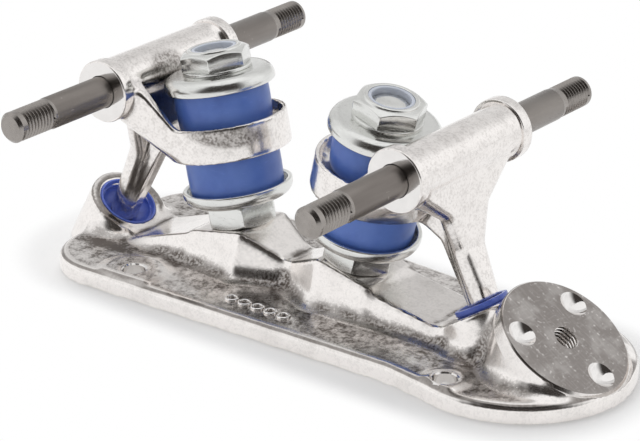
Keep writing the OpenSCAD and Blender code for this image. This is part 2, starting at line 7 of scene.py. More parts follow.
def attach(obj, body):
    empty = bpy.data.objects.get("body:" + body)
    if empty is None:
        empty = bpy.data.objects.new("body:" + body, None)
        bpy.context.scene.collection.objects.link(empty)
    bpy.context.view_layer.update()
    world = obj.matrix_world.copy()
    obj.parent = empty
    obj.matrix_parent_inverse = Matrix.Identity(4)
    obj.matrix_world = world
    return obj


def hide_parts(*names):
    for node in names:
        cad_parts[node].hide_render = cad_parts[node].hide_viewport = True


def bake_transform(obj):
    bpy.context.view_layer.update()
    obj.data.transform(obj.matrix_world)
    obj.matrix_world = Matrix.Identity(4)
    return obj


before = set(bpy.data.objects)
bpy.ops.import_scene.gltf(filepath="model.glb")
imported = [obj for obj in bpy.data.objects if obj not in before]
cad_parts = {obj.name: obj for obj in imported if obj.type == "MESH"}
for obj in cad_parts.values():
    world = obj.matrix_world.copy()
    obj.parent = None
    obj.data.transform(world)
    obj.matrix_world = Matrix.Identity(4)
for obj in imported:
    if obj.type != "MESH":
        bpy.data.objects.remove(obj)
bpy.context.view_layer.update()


# Base plate: one aluminium casting with flange, ridge, kingpin bosses, pivot sockets and toe boss.
# Its skin is polished on a wheel, which doesn't reach the corners; these are left rough and darkened with
# painted shade, level ground is duller with a painted darker reflection, and the toe face is milled flat.
MM = 0.001
WELD = 0.001 * MM
PLATE_VOXEL = 0.6 * MM
PLATE_FILLET = 3.4 * MM
PLATE_PASSES = 4
PLATE_DEEP = 0.40
PLATE_SPECKLE = 0.1
TOE_CENTRE = Vector((79.5, 0, 12.7)) * MM
TOE_LEAN = radians(32.8)
TOE_NORMAL = Vector((sin(TOE_LEAN), 0, cos(TOE_LEAN)))
TOE_R = 16.8
TOE_BOSS_R = TOE_R + 0.05
TOE_BOSS_H = 4
TOE_RIM = 0.35
TOE_STEP = TOE_RIM + 0.3
TOE_HOLE_R = 3.0
TOE_HOLE_DEPTH = 24
TOE_PITCH = 1.0
TOE_TURNS = 22
TOE_THREAD_LOW = -20
DIMPLE_CIRCLE_R = 12.1
DIMPLE_R = 3.5
DIMPLE_DEPTH = 3.2
DIMPLES = 3
HOLE_R = 2.85
HOLE_EDGE = 0.45
HOLE_X = (62.0, -35.0)
HOLE_Y = 23.2
PAD_TOP = 5.7
RING_X = 3.5
RING_STEP = 4.1
RING_Y = -20.8
RING_R = 1.4
RING_WIRE = 0.45
RING_TOP = 5.4
RINGS_EACH_WAY = 2
# Painted shade: a dark grainy patch at the foot of the rear pivot socket, where it meets the flange
SOCKET_FOOT = [(Vector((-53, -15.5, 7)) * MM, Vector((12, 3.5, 4)) * MM)]


def only(piece):
    """Selects one piece and nothing else"""
    bpy.ops.object.select_all(action="DESELECT")
    piece.select_set(True)
    bpy.context.view_layer.objects.active = piece
    return piece


def copy_of(node, name):
    """Copy of a CAD node's mesh as a new piece, with its loose triangles merged"""
    piece = bpy.data.objects.new(name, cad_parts[node].data.copy())
    bpy.context.collection.objects.link(piece)
    only(piece)
    piece.data.materials.clear()
    bpy.ops.mesh.customdata_custom_splitnormals_clear()
    bpy.ops.object.mode_set(mode="EDIT")
    bpy.ops.mesh.select_all(action="SELECT")
    bpy.ops.mesh.remove_doubles(threshold=WELD)
    bpy.ops.object.mode_set(mode="OBJECT")
    return piece


def finish_faces(piece, finish, test):
    """Gives the faces that pass a test a finish of their own"""
    only(piece)
    piece.data.materials.append(finish)
    bpy.ops.object.mode_set(mode="EDIT")
    bpy.ops.mesh.select_mode(type="FACE")
    bpy.ops.mesh.select_all(action="DESELECT")
    bpy.ops.object.mode_set(mode="OBJECT")
    for face in piece.data.polygons:
        face.select = test(face)
    bpy.ops.object.mode_set(mode="EDIT")
    piece.active_material_index = len(piece.data.materials) - 1
    bpy.ops.object.material_slot_assign()
    bpy.ops.object.mode_set(mode="OBJECT")


def apply_modifier(piece, kind, **settings):
    """Adds a modifier with its settings and applies it"""
    only(piece)
    modifier = piece.modifiers.new(kind.lower(), kind)
    for key, value in settings.items():
        setattr(modifier, key, value)
    bpy.ops.object.modifier_apply(modifier=modifier.name)


def cast_skin(piece, voxel, fillet, passes):
    """Fills the corners with round fillets and softens the edges, as in a casting"""
    only(piece)
    piece.data.remesh_voxel_size = voxel
    bpy.ops.object.voxel_remesh()
    for swell in [fillet / 3] * 3 + [-fillet / 6] * 6:
        apply_modifier(piece, "DISPLACE", strength=swell, mid_level=0.0)
        bpy.ops.object.voxel_remesh()
    apply_modifier(piece, "SMOOTH", factor=0.5, iterations=passes)


def draw_line(name, points):
    """Line through points of radius and height in millimetres, drawn vertex by vertex"""
    bpy.ops.object.select_all(action="DESELECT")
    bpy.ops.mesh.primitive_plane_add(size=MM)
    piece = bpy.context.object
    piece.name = piece.data.name = name
    bpy.ops.object.mode_set(mode="EDIT")
    bpy.ops.mesh.select_mode(type="VERT")
    bpy.ops.mesh.select_all(action="SELECT")
    bpy.ops.mesh.merge(type="CENTER")
    bpy.ops.transform.translate(value=(points[0][0] * MM, 0, points[0][1] * MM))
    for (r0, z0), (r1, z1) in zip(points, points[1:]):
        step = ((r1 - r0) * MM, 0, (z1 - z0) * MM)
        bpy.ops.mesh.extrude_vertices_move(TRANSFORM_OT_translate={"value": step})
    return piece


def close_up():
    """Merges what meets in edit mode and turns all faces outwards"""
    bpy.ops.mesh.select_all(action="SELECT")
    bpy.ops.mesh.remove_doubles(threshold=WELD)
    bpy.ops.mesh.normals_make_consistent(inside=False)
    bpy.ops.object.mode_set(mode="OBJECT")


def lathe(name, points, steps=96):
    """Turned piece about Z, from its outline of radius and height in millimetres"""
    piece = draw_line(name, points)
    bpy.ops.mesh.select_all(action="SELECT")
    bpy.ops.mesh.spin(steps=steps, angle=2 * pi, center=(0, 0, 0), axis=(0, 0, 1))
    close_up()
    return piece


def thread_groove(name, tip_r, wall_r, clear_r, pitch, turns):
    """Helical groove about Z, as a closed piece to cut from a rod or from a hole's wall"""
    half = 0.45 * pitch
    outline = [(tip_r, 0), (wall_r, half), (clear_r, half), (clear_r, -half), (wall_r, -half), (tip_r, 0)]
    piece = draw_line(name, outline)
    bpy.ops.mesh.select_all(action="SELECT")
    bpy.ops.mesh.remove_doubles(threshold=WELD)
    bpy.ops.object.mode_set(mode="OBJECT")
    apply_modifier(piece, "SCREW", axis="Z", angle=2 * pi, screw_offset=pitch * MM, iterations=turns,
                   steps=48, render_steps=48)
    bpy.ops.object.mode_set(mode="EDIT")
    bpy.ops.mesh.select_all(action="DESELECT")
    bpy.ops.mesh.select_mode(type="EDGE")
    bpy.ops.mesh.select_non_manifold()
    bpy.ops.mesh.fill(use_beauty=False)
    close_up()
    return piece


def place(piece, matrix):
    """Moves a piece to its place and applies it to the mesh"""
    only(piece)
    piece.matrix_world = matrix
    bpy.ops.object.transform_apply(location=True, rotation=True, scale=True)
    return piece


def join(pieces):
    """Joins pieces into the first of them"""
    only(pieces[0])
    for piece in pieces:
        piece.select_set(True)
    bpy.ops.object.join()
    return pieces[0]


def carve(piece, other, operation):
    """Joins, cuts or intersects a piece with another, which is used up"""
    apply_modifier(piece, "BOOLEAN", operation=operation, solver="EXACT", object=other)
    bpy.data.objects.remove(other)
    bpy.ops.object.mode_set(mode="EDIT")
    close_up()


def smooth(piece, degrees):
    """Shades a piece smooth, up to an angle that stays a crisp edge"""
    only(piece)
    bpy.ops.object.shade_smooth_by_angle(angle=radians(degrees))


class Wire:
    """An output of a shader node, on which arithmetic adds Math nodes"""

    def __init__(self, tree, socket=None):
        self.tree = tree
        self.socket = socket

    def node(self, kind, settings, sockets, out=0):
        new = self.tree.nodes.new(kind)
        for key, value in settings.items():
            setattr(new, key, value)
        for key, value in sockets.items():
            if isinstance(value, Wire):
                self.tree.links.new(value.socket, new.inputs[key])
            else:
                new.inputs[key].default_value = value
        return Wire(self.tree, new.outputs[out])

    def math(self, operation, a, b):
        return self.node("ShaderNodeMath", {"operation": operation}, {0: a, 1: b})

    def __add__(self, other):
        return self.math("ADD", self, other)

    def __sub__(self, other):
        return self.math("SUBTRACT", self, other)

    def __rsub__(self, other):
        return self.math("SUBTRACT", other, self)

    def __mul__(self, other):
        return self.math("MULTIPLY", self, other)

    __radd__ = __add__
    __rmul__ = __mul__

    def noise(self, scale, detail=2.0, stretch=(1, 1, 1)):
        turned = self.node("ShaderNodeMapping", {}, {"Vector": self, "Scale": stretch})
        return self.node("ShaderNodeTexNoise", {}, {"Vector": turned, "Scale": scale, "Detail": detail})

    def between(self, low, high):
        limits = {"Value": self, "From Min": low, "From Max": high}
        return self.node("ShaderNodeMapRange", {"interpolation_type": "SMOOTHSTEP"}, limits)

    def away(self, centre, halves):
        moved = self.node("ShaderNodeVectorMath", {"operation": "SUBTRACT"}, {0: self, 1: centre})
        scaled = self.node("ShaderNodeVectorMath", {"operation": "DIVIDE"}, {0: moved, 1: halves})
        return self.node("ShaderNodeVectorMath", {"operation": "LENGTH"}, {0: scaled}, out="Value")

    def tint(self, dark, light):
        ends = {0: self, 6: (*dark, 1), 7: (*light, 1)}
        return self.node("ShaderNodeMix", {"data_type": "RGBA"}, ends, out=2)

    def bump(self, distance):
        return self.node("ShaderNodeBump", {}, {"Height": self, "Distance": distance})


def new_finish(name, **constants):
    """Material with constants on its shader, its place coordinates, and a way to link what varies"""
    material = bpy.data.materials.new(name)
    material.use_nodes = True
    shader = material.node_tree.nodes["Principled BSDF"]
    for key, value in constants.items():
        shader.inputs[key.replace("_", " ")].default_value = value

    def link(**varying):
        for key, wire in varying.items():
            material.node_tree.links.new(wire.socket, shader.inputs[key.replace("_", " ")])
    here = Wire(material.node_tree).node("ShaderNodeTexCoord", {}, {}, out="Object")
    return material, here, link


def polished_casting(name, spots, deep, speckle):
    """Wheel-polished aluminium with painted light: corners and spots darkened as a grainy skin, partly
    rough and partly painted shade; level ground duller, partly a painted darker reflection; a painted dark
    reflection line on rounded edges
    """
    material, here, link = new_finish(name, Metallic=1.0)
    crevice = here.node("ShaderNodeAttribute", {"attribute_name": "crevice"}, {}, out="Fac")
    rise = here.node("ShaderNodeAttribute", {"attribute_name": "rise"}, {}, out="Fac")
    cloud = here.noise(95, 3)
    mottle = here.noise(420, 3)
    wave = here.noise(260, 2)
    pit = here.noise(1500, 3)
    ragged = 0.12 * (pit - 0.5) + 0.08 * (cloud - 0.5)
    # raw marks corners and spots: the rough skin a wheel can't reach, and painted shade that darkens them
    raw_and_shaded = 1 - (crevice + ragged).between(deep, deep + 0.06)
    # Each spot is a painted dark patch of shade and reflection, which is also rougher
    for centre, halves in spots:
        spot = 0.7 - 0.7 * (here.away(centre, halves) + 2 * ragged).between(0.6, 1.1)
        raw_and_shaded = raw_and_shaded.math("MAXIMUM", raw_and_shaded, spot)
    # edge is a painted dark reflection: a thin dark line along rounded edges between level ground and
    # walls
    edge = crevice.between(0.57, 0.64) * rise.between(0.58, 0.7) * (1 - rise.between(0.84, 0.94))
    # level and dull darken up-facing ground: a duller polish there, partly real and partly a painted
    # darker reflection, mottled at random
    level = rise.between(0.988, 0.998)
    patchy = 0.5 * cloud.between(0.36, 0.62) + 0.45 * mottle.between(0.38, 0.62)
    dull_with_painted_reflection = rise.between(0.93, 0.985) * (0.38 + level * (patchy - 0.08))
    grain = pit.between(0.38, 0.62)
    fleck = (0.6 * pit + 0.4 * mottle).between(0.44, 0.64)
    # Base colour: darkened by the painted shade in corners and spots, the painted edge line and the
    # painted reflection on level ground, with random grain and flecks
    shade = raw_and_shaded * (0.55 + 0.4 * grain) + 0.75 * edge + dull_with_painted_reflection * (0.5 + 0.35 * level * grain)
    shade = shade + speckle * fleck + 0.1 * cloud.between(0.5, 0.75)
    link(Base_Color=shade.tint((0.94, 0.905, 0.88), (0.14, 0.12, 0.107)),
         Roughness=0.13 + 0.1 * cloud + 0.1 * dull_with_painted_reflection + 0.15 * raw_and_shaded,
         Normal=(wave + pit * (0.05 + 0.2 * raw_and_shaded + 0.14 * level * dull_with_painted_reflection)).bump(0.05 * MM))
    return material


def milled_face(name):
    """Flat face from a milling cutter, with fine crossing scratches"""
    material, here, link = new_finish(name, Metallic=1.0)
    cloud = here.noise(160, 3)
    along = here.noise(260, 4, (1, 9, 1)).between(0.5, 0.7)
    across = here.noise(240, 4, (8, 1.4, 8)).between(0.55, 0.72)
    fleck = here.noise(1100, 3).between(0.6, 0.72)
    mark = along * 0.14 + across * 0.14 + fleck * 0.6 + 0.25 * cloud.between(0.45, 0.65)
    link(Base_Color=mark.tint((0.30, 0.275, 0.26), (0.80, 0.77, 0.75)),
         Roughness=0.26 + 0.1 * cloud,
         Normal=(mark + 0.4 * cloud).bump(0.02 * MM))
    return material


def faced_metal(name):
    """Mirror-bright turned face with faint tool marks"""
    material, here, link = new_finish(name, Metallic=1.0)
    cloud = here.noise(300, 3)
    tool = here.noise(1500, 2, (0.4, 1, 3))
    link(Base_Color=(0.6 * cloud).tint((0.92, 0.90, 0.885), (0.70, 0.68, 0.665)),
         Roughness=0.05 + 0.08 * cloud,
         Normal=(tool + cloud).bump(0.006 * MM))
    return material


def mark_crevices(piece):
    """Cavity attribute that falls in corners: the rough skin a polishing wheel can't reach, and painted
    shade there
    """
    only(piece)
    piece.data.color_attributes.new("crevice", "FLOAT_COLOR", "CORNER")
    piece.data.color_attributes.active_color_index = 0
    bpy.ops.paint.vertex_color_dirt(blur_strength=1, blur_iterations=14, dirt_angle=radians(82),
                                    clean_angle=radians(98), dirt_only=False, normalize=False)


def mark_rise(piece):
    """Attribute that is one on level ground and falls to nothing on upright walls"""
    mark = piece.data.attributes.new("rise", "FLOAT", "POINT")
    for i, vertex in enumerate(piece.data.vertices):
        mark.data[i].value = vertex.normal.z


def on_toe_face(face):
    """Whether a face lies in the milled toe face"""
    height = (face.center - TOE_CENTRE).dot(TOE_NORMAL)
    return face.normal.dot(TOE_NORMAL) > 0.9999 and abs(height) < 0.01 * MM


def in_dimple(face):
    """Whether a face is in a dimple of the toe face"""
    out = face.center - TOE_CENTRE
    depth = out.dot(TOE_NORMAL)
    across = (out - TOE_NORMAL * depth).length
    return -1.1 * DIMPLE_DEPTH < depth / MM < -0.005 and 8 < across / MM < 16.2


def in_hole(face):
    """Whether a face is on the wall or the broken edge of a boot hole"""
    x, y = abs(face.center.x / MM - sum(HOLE_X) / 2), abs(face.center.y / MM)
    return (x - (HOLE_X[0] - HOLE_X[1]) / 2) ** 2 + (y - HOLE_Y) ** 2 < (HOLE_R + HOLE_EDGE + 0.05) ** 2


def on_ring(face):
    """Whether a face is on one of the ring marks"""
    x, y, z = face.center / MM
    return abs(x - RING_X) < 2.8 * RING_STEP and abs(y - RING_Y) < 2.1 and z > RING_TOP + 0.12


plate = copy_of("base_plate", "base_plate_cast")
cast_skin(plate, PLATE_VOXEL, PLATE_FILLET, PLATE_PASSES)
on_toe = Matrix.Translation(TOE_CENTRE) @ Matrix.Rotation(TOE_LEAN, 4, "Y")
boss = lathe("toe_boss", [(0, -TOE_BOSS_H), (TOE_BOSS_R, -TOE_BOSS_H), (TOE_BOSS_R, 1), (0, 1),
                          (0, -TOE_BOSS_H)], 128)
carve(plate, place(boss, on_toe), "UNION")
mill = lathe("toe_mill", [(0, -TOE_HOLE_DEPTH), (TOE_HOLE_R, -TOE_HOLE_DEPTH), (TOE_HOLE_R, 0),
                          (TOE_R - TOE_RIM, 0), (TOE_R + 0.3, -TOE_STEP), (TOE_R + 0.9, -TOE_STEP),
                          (TOE_R + 0.9, 5), (0, 5), (0, -TOE_HOLE_DEPTH)], 128)
carve(plate, place(mill, on_toe), "DIFFERENCE")
toe_thread = thread_groove("toe_thread", TOE_HOLE_R + 0.45, TOE_HOLE_R - 0.25, TOE_HOLE_R - 0.6,
                           TOE_PITCH, TOE_TURNS)
cuts = [place(toe_thread, on_toe @ Matrix.Translation((0, 0, TOE_THREAD_LOW * MM)))]
for i in range(DIMPLES):
    wide = DIMPLE_R * (1 + 1 / DIMPLE_DEPTH)
    drill = lathe("drill_point", [(0, -DIMPLE_DEPTH), (wide, 1), (0, 1), (0, -DIMPLE_DEPTH)], 40)
    out = Matrix.Rotation(2 * pi * i / DIMPLES, 4, "Z") @ Matrix.Translation((DIMPLE_CIRCLE_R * MM, 0, 0))
    cuts.append(place(drill, on_toe @ out))
for x in HOLE_X:
    for y in (-HOLE_Y, HOLE_Y):
        wide = HOLE_R + HOLE_EDGE
        drill = lathe("drill", [(0, -1), (HOLE_R, -1), (HOLE_R, PAD_TOP - HOLE_EDGE), (wide, PAD_TOP),
                                (wide, 9), (0, 9), (0, -1)], 48)
        cuts.append(place(drill, Matrix.Translation((x * MM, y * MM, 0))))
carve(plate, join(cuts), "DIFFERENCE")
rings = []
for i in range(-RINGS_EACH_WAY, RINGS_EACH_WAY + 1):
    bpy.ops.object.select_all(action="DESELECT")
    bpy.ops.mesh.primitive_torus_add(major_radius=RING_R * MM, minor_radius=RING_WIRE * MM,
                                     major_segments=40, minor_segments=14)
    centre = Vector((RING_X + i * RING_STEP, RING_Y, RING_TOP)) * MM
    rings.append(place(bpy.context.object, Matrix.Translation(centre)))
carve(plate, join(rings), "UNION")
mark_crevices(plate)
mark_rise(plate)
plate.data.materials.append(polished_casting("polished_casting", SOCKET_FOOT, PLATE_DEEP, PLATE_SPECKLE))
finish_faces(plate, milled_face("milled_toe_face"), on_toe_face)
finish_faces(plate, faced_metal("bright_marks"), lambda f: in_dimple(f) or in_hole(f) or on_ring(f))
smooth(plate, 28)
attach(plate, "base")
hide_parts("base_plate")


# Pivot cups: blue plastic cups, moulded and pressed into the plate's two sockets, in which the balls
# of the hangers' arms turn. The front one stands proud with a thin rim, and the rear one is sunk.
PIVOT_X = 59.0
PIVOT_Z = 8.4
CUP_LEAN = 32
CUP_R = 6.5
CUP_BELOW = 5.4
CUP_RIM_R = {"front": 6.8, "rear": 7.6}
CUP_RIM_T = 1.4
CUP_ROUND = 0.2
CUP_UNDER = 0.3
CUP_CHAMFER = 0.4
CUP_SEAT_R = 3.9
CUP_SEAT_TURN = {"front": 90, "rear": 60}
CUP_BOWL = {"front": [], "rear": [(4.6, -1.75), (5.7, -1.1), (6.5, 0), (6.95, 1.2)]}
CUP_RISE = {"front": 7.4, "rear": 2.4}
CUP_MOUTH_R = {"front": 5.6, "rear": 7.1}
ENDS = (("front", 1), ("rear", -1))


def corner(r, z, radius, start, turn=90, steps=4):
    """Points of a rounded corner about a centre, from a starting angle on"""
    angles = [radians(start + turn * i / steps) for i in range(steps + 1)]
    return [(r + radius * cos(a), z + radius * sin(a)) for a in angles]


def blue_plastic(name):
    """Glossy moulded plastic with a faint flow pattern and dust"""
    material, here, link = new_finish(name, Coat_Weight=0.25, Coat_Roughness=0.15)
    flow = here.noise(260, 3, (1, 1, 3))
    dust = here.noise(1900, 2).between(0.62, 0.78)
    link(Base_Color=(flow.between(0.3, 0.7) * 0.7 + dust * 0.3).tint(
            (0.075, 0.13, 0.56), (0.14, 0.22, 0.74)),
         Roughness=0.28 + 0.16 * flow + 0.2 * dust,
         Normal=(flow + 0.3 * dust).bump(0.02 * MM))
    return material


cup_plastic = blue_plastic("cup_plastic")
for end, way in ENDS:
    rise = CUP_RISE[end]
    outline = corner(0, 0, CUP_SEAT_R, -90, CUP_SEAT_TURN[end], 10) + CUP_BOWL[end]
    outline += corner(CUP_MOUTH_R[end] + CUP_ROUND, rise - CUP_ROUND, CUP_ROUND, 180, -90)
    outline += corner(CUP_RIM_R[end] - CUP_ROUND, rise - CUP_ROUND, CUP_ROUND, 90, -90)
    outline += corner(CUP_RIM_R[end] - CUP_UNDER, rise - CUP_RIM_T + CUP_UNDER, CUP_UNDER, 0, -90)
    outline += [(CUP_R, rise - CUP_RIM_T), (CUP_R, -CUP_BELOW + CUP_CHAMFER),
                (CUP_R - CUP_CHAMFER, -CUP_BELOW), (0, -CUP_BELOW)]
    cup = lathe(end + "_pivot_cup_moulded", outline, 72)
    place(cup, Matrix.Translation(Vector((way * PIVOT_X, 0, PIVOT_Z)) * MM)
          @ Matrix.Rotation(-way * radians(CUP_LEAN), 4, "Y"))
    cup.data.materials.append(cup_plastic)
    smooth(cup, 35)
    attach(cup, "base")
    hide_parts(end + "_pivot_cup")


# Kingpins: plated studs screwed into the plate's bosses, leaning outwards, with a rolled thread and a
# domed end. Everything of a truck is stacked on them; only the ends show, in the nuts.
KINGPIN_X = 18.4
KINGPIN_Z = 15.403
KINGPIN_LEAN = 12
KINGPIN_R = 4.75
KINGPIN_SUNK = 12
KINGPIN_TOP = 44.6
KINGPIN_PITCH = 1.06
KINGPIN_THREAD = 0.5
KINGPIN_TURNS = 9
KINGPIN_THREAD_LOW = KINGPIN_TOP - 9


def on_kingpin(way, s, turn=0.0):
    """Frame on a kingpin, s millimetres above its boss, turned about it by an angle in degrees"""
    foot = Matrix.Translation(Vector((way * KINGPIN_X, 0, KINGPIN_Z)) * MM)
    lean = Matrix.Rotation(way * radians(KINGPIN_LEAN), 4, "Y")
    return foot @ lean @ Matrix.Translation((0, 0, s * MM)) @ Matrix.Rotation(way * radians(turn), 4, "Z")


def twin(pattern, name):
    """Copy of a piece with a mesh of its own"""
    piece = pattern.copy()
    piece.data = pattern.data.copy()
    piece.name = piece.data.name = name
    bpy.context.collection.objects.link(piece)
    return piece


def bright_zinc(name):
    """Zinc plating with faint handling marks and a soft orange-peel"""
    material, here, link = new_finish(name, Metallic=1.0)
    cloud = here.noise(150, 3)
    peel = here.noise(900, 2)
    rub = here.noise(420, 4, (1, 1, 9)).between(0.55, 0.72)
    fleck = here.noise(2400, 2).between(0.66, 0.8)
    link(Base_Color=(0.35 * cloud + 0.25 * rub + 0.5 * fleck).tint(
            (0.84, 0.845, 0.825), (0.55, 0.55, 0.535)),
         Roughness=0.15 + 0.12 * cloud + 0.1 * rub,
         Normal=(peel + 0.25 * rub + 0.3 * cloud).bump(0.01 * MM))
    return material


zinc = bright_zinc("bright_zinc")
dome = [(KINGPIN_R, KINGPIN_TOP - 1.3), (4.3, KINGPIN_TOP - 0.75), (3.4, KINGPIN_TOP - 0.3),
        (1.8, KINGPIN_TOP - 0.05), (0, KINGPIN_TOP)]
stud = lathe("kingpin_pattern", [(0, -KINGPIN_SUNK), (KINGPIN_R - 1, -KINGPIN_SUNK),
                                 (KINGPIN_R, 1 - KINGPIN_SUNK)] + dome, 64)
stud_thread = thread_groove("kingpin_thread", KINGPIN_R - KINGPIN_THREAD, KINGPIN_R, KINGPIN_R + 0.3,
                            KINGPIN_PITCH, KINGPIN_TURNS)
place(stud_thread, Matrix.Translation((0, 0, KINGPIN_THREAD_LOW * MM)))
carve(stud, stud_thread, "DIFFERENCE")
stud.data.materials.append(zinc)
smooth(stud, 30)
for end, way in ENDS:
    kingpin = twin(stud, end + "_kingpin_threaded")
    place(kingpin, on_kingpin(way, 0))
    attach(kingpin, "base")
    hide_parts(end + "_kingpin")
bpy.data.objects.remove(stud)


# Jam nuts: plated steel hexagon nuts, screwed down on the kingpins to lock them in the plate, with
# both ends chamfered by a lathe so that each flat ends in an arc.
JAM_ACROSS = 16.5
JAM_H = 6.2
JAM_TURN = {"front": -4, "rear": -12}
NUT_BORE_R = 4.81
FACE_SHARE = 0.48
CORNER_SPARE = 0.3
HEX_BREAK = 0.14


def hexagon(blank, across, height):
    """Cuts a turned blank to a hexagon and breaks its edges"""
    bpy.ops.object.select_all(action="DESELECT")
    bpy.ops.mesh.primitive_cylinder_add(vertices=6, radius=across / sqrt(3) * MM, depth=4 * height * MM)
    prism = bpy.context.object
    place(prism, Matrix.Rotation(radians(30), 4, "Z"))
    carve(blank, prism, "INTERSECT")
    apply_modifier(blank, "BEVEL", width=HEX_BREAK * MM, segments=2, limit_method="ANGLE",
                   angle_limit=radians(24))
    smooth(blank, 32)


def chamfer_drop(across, r):
    """Fall of a 30 degree chamfer from its start on a nut's end to a radius"""
    return (r - FACE_SHARE * across) * tan(radians(30))


jam_far_r = JAM_ACROSS / sqrt(3) + CORNER_SPARE
jam_fall = chamfer_drop(JAM_ACROSS, jam_far_r)
jam = lathe("jam_nut_pattern", [(NUT_BORE_R, 0), (FACE_SHARE * JAM_ACROSS, 0), (jam_far_r, jam_fall),
                                (jam_far_r, JAM_H - jam_fall), (FACE_SHARE * JAM_ACROSS, JAM_H),
                                (NUT_BORE_R, JAM_H), (NUT_BORE_R, 0)])
hexagon(jam, JAM_ACROSS, JAM_H)
jam.data.materials.append(zinc)
for end, way in ENDS:
    nut = twin(jam, end + "_jam_nut_plated")
    place(nut, on_kingpin(way, 0, JAM_TURN[end]))
    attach(nut, "base")
    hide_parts(end + "_jam_nut")
bpy.data.objects.remove(jam)


# Lower retainers: cup washers pressed from zinc-plated steel sheet, open upwards on the jam nuts, with
# a well rounded shoulder and a short wall that holds the foot of the cushion.
RETAINER_BORE_R = 5.05
RETAINER_R = 14.0
RETAINER_ROUND = 2.9
RETAINER_WALL = 1.2
RETAINER_EDGE = 0.45
RETAINER_H = 3.9
LOWER_RETAINER_S = 6.2

foot_r = RETAINER_R - RETAINER_ROUND
inner_r = RETAINER_R - RETAINER_WALL
inner_round = RETAINER_ROUND - RETAINER_WALL
pressed = [(RETAINER_BORE_R, 0)] + corner(foot_r, RETAINER_ROUND, RETAINER_ROUND, -90, 90, 12)
pressed += corner(RETAINER_R - RETAINER_EDGE, RETAINER_H - RETAINER_EDGE, RETAINER_EDGE, 0, 90, 4)
pressed += corner(inner_r + RETAINER_EDGE, RETAINER_H - RETAINER_EDGE, RETAINER_EDGE, 90, 90, 4)
pressed += corner(foot_r, RETAINER_ROUND, inner_round, 0, -90, 6)
pressed += [(RETAINER_BORE_R, RETAINER_WALL), (RETAINER_BORE_R, 0)]
retainer = lathe("retainer_pattern", pressed, 128)
retainer.data.materials.append(zinc)
smooth(retainer, 40)
for end, way in ENDS:
    cup_washer = twin(retainer, end + "_lower_retainer_pressed")
    place(cup_washer, on_kingpin(way, LOWER_RETAINER_S))
    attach(cup_washer, "base")
    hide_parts(end + "_lower_retainer")


# Lower cushions: rings of poured blue urethane between lower retainer and hanger. They bulge a little
# under the nut's load and give when the hanger tilts.
CUSHION_BORE_R = 5.25
CUSHION_END_R = 10.7
CUSHION_R = 12.0
CUSHION_BULGE = 0.35
CUSHION_LIP = 0.45
CUSHION_POINTS = 24
LOWER_CUSHION_S = 7.45
LOWER_CUSHION_H = 14.8
LOWER_RIM_S = 10.1
LOWER_RING_S = 19.1


def poured_urethane(name):
    """Satin urethane, faintly cloudy and translucent, with small scuffs and dust"""
    material, here, link = new_finish(name, Subsurface_Weight=0.12, Subsurface_Radius=(0.15, 0.3, 1.0),
                                      Subsurface_Scale=2 * MM, IOR=1.48)
    cloud = here.noise(120, 3)
    ripple = here.noise(700, 3, (1, 1, 2.5))
    scuff = here.noise(330, 4, (1, 1, 6)).between(0.6, 0.74)
    dust = here.noise(2600, 2).between(0.66, 0.82)
    link(Base_Color=(0.55 * cloud.between(0.3, 0.7) + 0.25 * scuff + 0.45 * dust).tint(
            (0.085, 0.165, 0.52), (0.155, 0.275, 0.70)),
         Roughness=0.3 + 0.12 * cloud + 0.18 * scuff,
         Normal=(0.5 * cloud + 0.35 * ripple + 0.3 * scuff).bump(0.05 * MM))
    return material


def cushion_height(height, i):
    """Height of one of the points on a cushion's side"""
    return 2 * CUSHION_LIP + (height - 4 * CUSHION_LIP) * i / CUSHION_POINTS


def cushion(name, height, low, high):
    """Ring of urethane from a low to a high cut, drawn in at both ends and bulging between them"""
    lip_r = CUSHION_END_R + 0.7
    side = [(CUSHION_END_R, 0), (lip_r, CUSHION_LIP)]
    for i in range(1, CUSHION_POINTS):
        bulge = CUSHION_BULGE * sin(pi * i / CUSHION_POINTS) ** 0.6
        side.append((CUSHION_R - CUSHION_BULGE + bulge, cushion_height(height, i)))
    side += [(lip_r, height - CUSHION_LIP), (CUSHION_END_R, height)]
    outline = [(CUSHION_BORE_R, low)] + [(r, z) for r, z in side if low <= z <= high]
    outline += [(CUSHION_BORE_R, high + (low - high) * i / 12) for i in range(13)]
    piece = lathe(name, outline, 96)
    piece.data.materials.append(urethane)
    smooth(piece, 40)
    return piece


def point_on_kingpin(way, s):
    """Point on a kingpin's axis, s millimetres above its boss"""
    return on_kingpin(way, s).translation


urethane = poured_urethane("urethane")
for end, way in ENDS:
    ring = cushion(end + "_lower_cushion_poured", LOWER_CUSHION_H, 0, LOWER_CUSHION_H)
    place(ring, on_kingpin(way, LOWER_CUSHION_S))
    point_on_kingpin(way, LOWER_RIM_S)
    point_on_kingpin(way, LOWER_RING_S)
    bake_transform(ring)
    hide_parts(end + "_lower_cushion")


# Hangers: aluminium castings with a tube for the axle, a ring for the cushions and an arm that ends in
# a ball. The polish is the plate's, with its painted shade in the corners and in spots, and the ends of
# the tube's collars are faced on a lathe.
HANGER_VOXEL = 0.45 * MM
HANGER_FILLET = 2.3 * MM
HANGER_PASSES = 8
HANGER_DEEP = 0.34
HANGER_SPECKLE = 0.2
AXLE_X = 45.5
AXLE_Z = 50.0
COLLAR_R = 7.9
COLLAR_W = 3.4
COLLAR_Y = 22.03
COLLAR_BORE_R = 4.2
COLLAR_ROUND = 0.45
COLLAR_BACK = 0.3
# Painted dark patches of shade and reflection on the rear hanger's ring wall and tube, also rougher
ROUGH_SHADED_SPOTS = [(Vector((-13.6, -12.1, 42.5)) * MM, Vector((12, 12, 3)) * MM),
               (Vector((-40, -3, 52)) * MM, Vector((5, 7, 6)) * MM)]

